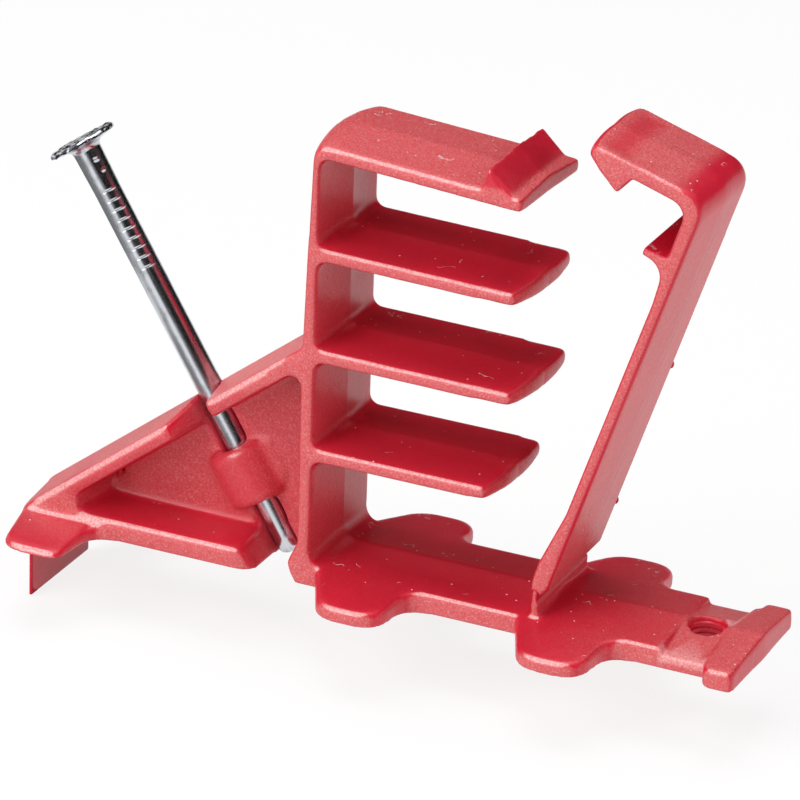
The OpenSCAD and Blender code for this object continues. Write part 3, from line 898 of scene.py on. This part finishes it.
@dataclass
class Nail:
    """The zinc-plated nail, drawn, gripped and upset to a rough head.

    Sizes are in mm, and lean and tilt are in degrees.
    """

    radius: float = 1.325
    length: float = 44.9
    lean: float = 31.9
    end_x: float = -4.45
    end_z: float = 0.35
    end_length: float = 0.6
    head_radius: float = 3.5
    head_thick: float = 0.5
    cone: float = 0.8
    swell: float = 0.1
    tilt: float = 2.6
    rim_wave: float = 0.035
    under_lump: float = 0.08
    top_lump: float = 0.10
    top_pit: float = 0.12
    top_sink: float = 0.06
    grip_from_head: float = 4.6
    grip_pitch: float = 1.04
    grip_count: int = 9
    sides: int = 96
    shank_rings: int = 24
    grip_ring: float = 0.05
    head_rings: int = 14
    weld: float = 0.004
    marks: list[GripMark] = field(default_factory=list)

    def __post_init__(self) -> None:
        """Lays out the gripper marks and the two nicks below the head."""
        for k in range(self.grip_count):
            self.marks.append(GripMark(self.grip_from_head + (k + 0.5) * self.grip_pitch))
        self.marks.append(GripMark(1.9, middle=48.0, reach=14.0, depth=0.08, width=0.55))
        self.marks.append(GripMark(3.1, middle=56.0, reach=10.0, depth=0.06, width=0.5))

    def profile(self) -> list[tuple[float, float]]:
        """Lays out the half section, from the end to the top of the head.

        Returns:
            Radius and height of each ring in mm.
        """
        r, length, tip = self.radius, self.length, self.end_length
        out = [(0.0, 0.0), (0.5 * r, 0.02), (r - 0.5, 0.05), (r - 0.2, 0.25), (r, tip)]
        start = length - self.grip_from_head - (self.grip_count + 1) * self.grip_pitch
        out += [(r, tip + (start - tip) * k / self.shank_rings)
                for k in range(1, self.shank_rings + 1)]
        end = length - self.cone
        steps = int((end - start) / self.grip_ring)
        out += [(r + self.swell * max(0.0, (k / steps - 0.7) / 0.3),
                 start + (end - start) * k / steps) for k in range(1, steps + 1)]
        neck, head, top = r + self.swell, self.head_radius, length + self.head_thick
        out += [(neck + 0.08, end + 0.35 * self.cone), (neck + 0.3, length - 0.4 * self.cone),
                (0.6 * head, length - 0.28 * self.cone), (0.8 * head, length - 0.14 * self.cone),
                (0.93 * head, length - 0.04), (head, length + 0.08),
                (head + 0.02, length + 0.25), (head - 0.06, top - 0.08), (head - 0.25, top)]
        out += [(head * (1 - k / self.head_rings), top + 0.05)
                for k in range(2, self.head_rings + 1)]
        return out

    def pressed(self, angle: float, s: float) -> float:
        """Finds how far the surface is pressed in.

        Args:
            angle: Place round the nail in degrees.
            s: Height along it in mm.

        Returns:
            The depth in mm.
        """
        deep = 0.0
        for m in self.marks:
            across = abs(angle - m.middle) / m.reach
            along = (s - (self.length - m.below_head)) / m.width
            if across < 1.6 and -0.6 < along < 0.6:
                lens = max(0.0, 1 - across ** 2)
                cut = max(0.0, 1 - 2 * abs(along))
                deep = max(deep, m.depth * cut * (lens ** 0.6 + 0.12 * max(0.0, 1.6 - across)))
        return deep

    def build(self, steel: bpy.types.Material) -> list[bpy.types.Object]:
        """Builds the nail.

        Args:
            steel: The zinc finish.

        Returns:
            The pieces made.
        """
        bm = bmesh.new()
        verts = [bm.verts.new((r * MM, 0, z * MM)) for r, z in self.profile()]
        for a, b in zip(verts, verts[1:]):
            bm.edges.new((a, b))
        bmesh.ops.spin(bm, geom=bm.verts[:] + bm.edges[:], cent=(0, 0, 0), axis=UP,
                       angle=math.tau, steps=self.sides, use_merge=True)
        bmesh.ops.remove_doubles(bm, verts=bm.verts, dist=self.weld * MM)
        bmesh.ops.recalc_face_normals(bm, faces=bm.faces)
        for v in bm.verts:
            self.press(v)
        place = Matrix.Translation((self.end_x * MM, 0, self.end_z * MM)) @ Matrix.Rotation(
            -math.radians(self.lean), 4, "Y")
        bmesh.ops.transform(bm, matrix=place, verts=bm.verts)
        piece = new_piece("nail_zinc", bm, steel, sharp_deg=60.0)
        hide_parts("nail")
        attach(piece, Body.NAIL.value)
        return [piece]

    def press(self, v: bmesh.types.BMVert) -> None:
        """Presses the marks into the shank and roughens the head.

        Args:
            v: A vertex of the upright nail, which is moved.
        """
        r = math.hypot(v.co.x, v.co.y) / MM
        s = v.co.z / MM
        angle = math.degrees(math.atan2(v.co.x, -v.co.y))
        if r > 0.8 * self.radius and s < self.length - 1:
            k = 1 - self.pressed(angle, s) / r
            v.co.x *= k
            v.co.y *= k
        if s > self.length - self.cone:
            share = min(1.0, max(0.0, (r - self.radius) / (self.head_radius - self.radius)))
            lump = noise.noise(Vector((v.co.x, v.co.y, 0)) / MM * 0.9)
            turn = math.radians(angle)
            rim = noise.noise(Vector((math.sin(turn), math.cos(turn), 0.3)) * 1.8)
            k = 1 + self.rim_wave * share * rim
            v.co.x *= k
            v.co.y *= k
            if s > self.length:
                pits = noise.noise(Vector((v.co.x, v.co.y, 0.5)) / MM * 2.2)
                v.co.z += (self.top_lump * lump + self.top_pit * pits - self.top_sink) * MM
            else:
                v.co.z += self.under_lump * share * lump * MM
            v.co.z += v.co.x * math.tan(math.radians(self.tilt)) * share


@dataclass
class Camera:
    """The photographer's camera. Sizes are in mm and degrees."""

    azimuth: float = 24.096
    elevation: float = 23.886
    roll: float = 2.003
    target: Spot = (6.3216, 0.0, 18.655)
    distance: float = 508.04
    lens: float = 238.556
    sensor: float = 36.0

    def build(self) -> None:
        """Makes the camera and sets it as the scene's."""
        a, e, roll = (math.radians(x) for x in (self.azimuth, self.elevation, self.roll))
        back = Vector((math.sin(a) * math.cos(e), -math.cos(a) * math.cos(e), math.sin(e)))
        right = Vector((math.cos(a), math.sin(a), 0.0))
        up = back.cross(right)
        across = right * math.cos(roll) + up * math.sin(roll)
        upward = up * math.cos(roll) - right * math.sin(roll)
        data = bpy.data.cameras.new("camera")
        data.lens, data.sensor_width = self.lens, self.sensor
        data.clip_start, data.clip_end = 0.01, 50.0
        camera = bpy.data.objects.new("camera", data)
        turn = Matrix((across, upward, back)).transposed().to_4x4()
        place = (Vector(self.target) + back * self.distance) * MM
        camera.matrix_world = Matrix.Translation(place) @ turn
        bpy.context.scene.collection.objects.link(camera)
        bpy.context.scene.camera = camera


@dataclass
class Lamp:
    """One soft box, aimed at the part. Sizes are in metres."""

    name: str
    place: Spot
    width: float
    height: float
    power: float
    mirrored: bool = True

    def build(self) -> None:
        """Makes the area lamp, which shows in reflections only if it is mirrored."""
        data = bpy.data.lights.new(self.name, "AREA")
        data.shape, data.energy = "RECTANGLE", self.power
        data.size, data.size_y = self.width, self.height
        lamp = bpy.data.objects.new(self.name, data)
        lamp.matrix_world = aimed(self.place, Vector(AIM) - Vector(self.place), "-Z")
        lamp.visible_glossy = self.mirrored
        bpy.context.scene.collection.objects.link(lamp)


@dataclass
class Card:
    """One dark card that only reflections see. Sizes are in metres."""

    name: str
    place: Spot
    width: float
    height: float
    facing: Spot | None = None

    def build(self, felt: bpy.types.Material) -> None:
        """Makes the card, facing the part unless it faces elsewhere.

        Args:
            felt: Its finish.
        """
        bm = bmesh.new()
        bmesh.ops.create_grid(bm, x_segments=2, y_segments=2, size=0.5)
        bmesh.ops.scale(bm, vec=(self.width, self.height, 1), verts=bm.verts)
        way = Vector(self.facing) if self.facing else Vector(AIM) - Vector(self.place)
        bmesh.ops.transform(bm, matrix=aimed(self.place, way, "Z"), verts=bm.verts)
        card = new_piece(self.name, bm, felt)
        card.visible_camera = card.visible_diffuse = card.visible_shadow = False


@dataclass
class Studio:
    """Plain floor, white surroundings, soft boxes and dark cards. Sizes are in metres."""

    floor_z: float = -0.0083
    floor_size: float = 4.0
    light_level: float = 0.03
    lamps: tuple[Lamp, ...] = (
        Lamp("key_box", (-0.36, -0.46, 0.46), 0.5, 0.4, 3.1),
        Lamp("top_box", (-0.05, 0.02, 0.75), 0.5, 0.5, 3.2),
        Lamp("low_box", (-0.30, -0.68, 0.16), 0.4, 0.25, 1.35),
        Lamp("right_box", (0.72, 0.02, 0.30), 0.4, 0.4, 1.6, mirrored=False),
        Lamp("fill_box", (0.48, -0.50, 0.34), 0.4, 0.4, 1.25, mirrored=False),
    )
    dark: Felt = Felt()
    cards: tuple[Card, ...] = (
        Card("card_behind", (-0.1, 0.95, 0.43), 2.4, 0.85),
        Card("card_far_right", (0.95, 0.15, 0.36), 1.7, 0.75),
        Card("card_camera", (0.50, -0.80, 0.26), 1.1, 0.95),
    )
    grey: Felt = Felt("grey_felt", (0.2, 0.2, 0.2, 1), (0.26, 0.26, 0.26, 1))
    floor_cards: tuple[Card, ...] = (
        Card("card_low", (-0.12, -0.03, -0.0075), 0.11, 0.2, facing=UP),
        Card("card_fin", (-0.036, -0.032, -0.00825), 0.04, 0.055, facing=UP),
    )

    def build(self) -> None:
        """Builds the floor, the world, the lamps and the cards."""
        bm = bmesh.new()
        bmesh.ops.create_grid(bm, x_segments=8, y_segments=8, size=self.floor_size / 2)
        bmesh.ops.translate(bm, verts=bm.verts, vec=(0, 0, self.floor_z))
        floor = new_piece("floor", bm, WhitePaper().build())
        self.build_world()
        for lamp in self.lamps:
            lamp.build()
        for felt, cards in ((self.dark, self.cards), (self.grey, self.floor_cards)):
            finish = felt.build()
            for card in cards:
                card.build(finish)
        bpy.context.scene.view_settings.view_transform = "Standard"

    def build_world(self) -> None:
        """Builds a world that lights plainly and is seen as white."""
        world = bpy.data.worlds.new("studio")
        world.use_nodes = True
        bpy.context.scene.world = world
        tree = NodeTree(world.node_tree)
        light, white = (
            tree.add("ShaderNodeBackground", {"Color": (1, 1, 1, 1), "Strength": strength})
            for strength in (self.light_level, 1.0))
        both = tree.add("ShaderNodeMixShader", {
            0: seen_ray(tree), 1: light.outputs[0], 2: white.outputs[0]})
        tree.add("ShaderNodeOutputWorld", {0: both.outputs[0]})


def main() -> None:
    """Builds every sub-assembly in order and reports each piece."""
    logging.basicConfig(level=logging.INFO, format="%(name)s: %(message)s")
    plastic = RedPlastic().build()
    steel = ZincSteel().build()
    seamed = RedPlastic(name="red_plastic_strap", seam_y=0.0009).build()
    for assembly, finish in ((Moulding(), plastic), (Strap(), seamed), (HingeWeb(), plastic),
                             (Pips(), plastic), (CutThread(), plastic), (Nail(), steel)):
        for piece in assembly.build(finish):
            log.info("%s: %d faces", piece.name, len(piece.data.polygons))
    Camera().build()
    Studio().build()


if __name__ == "__main__":
    main()
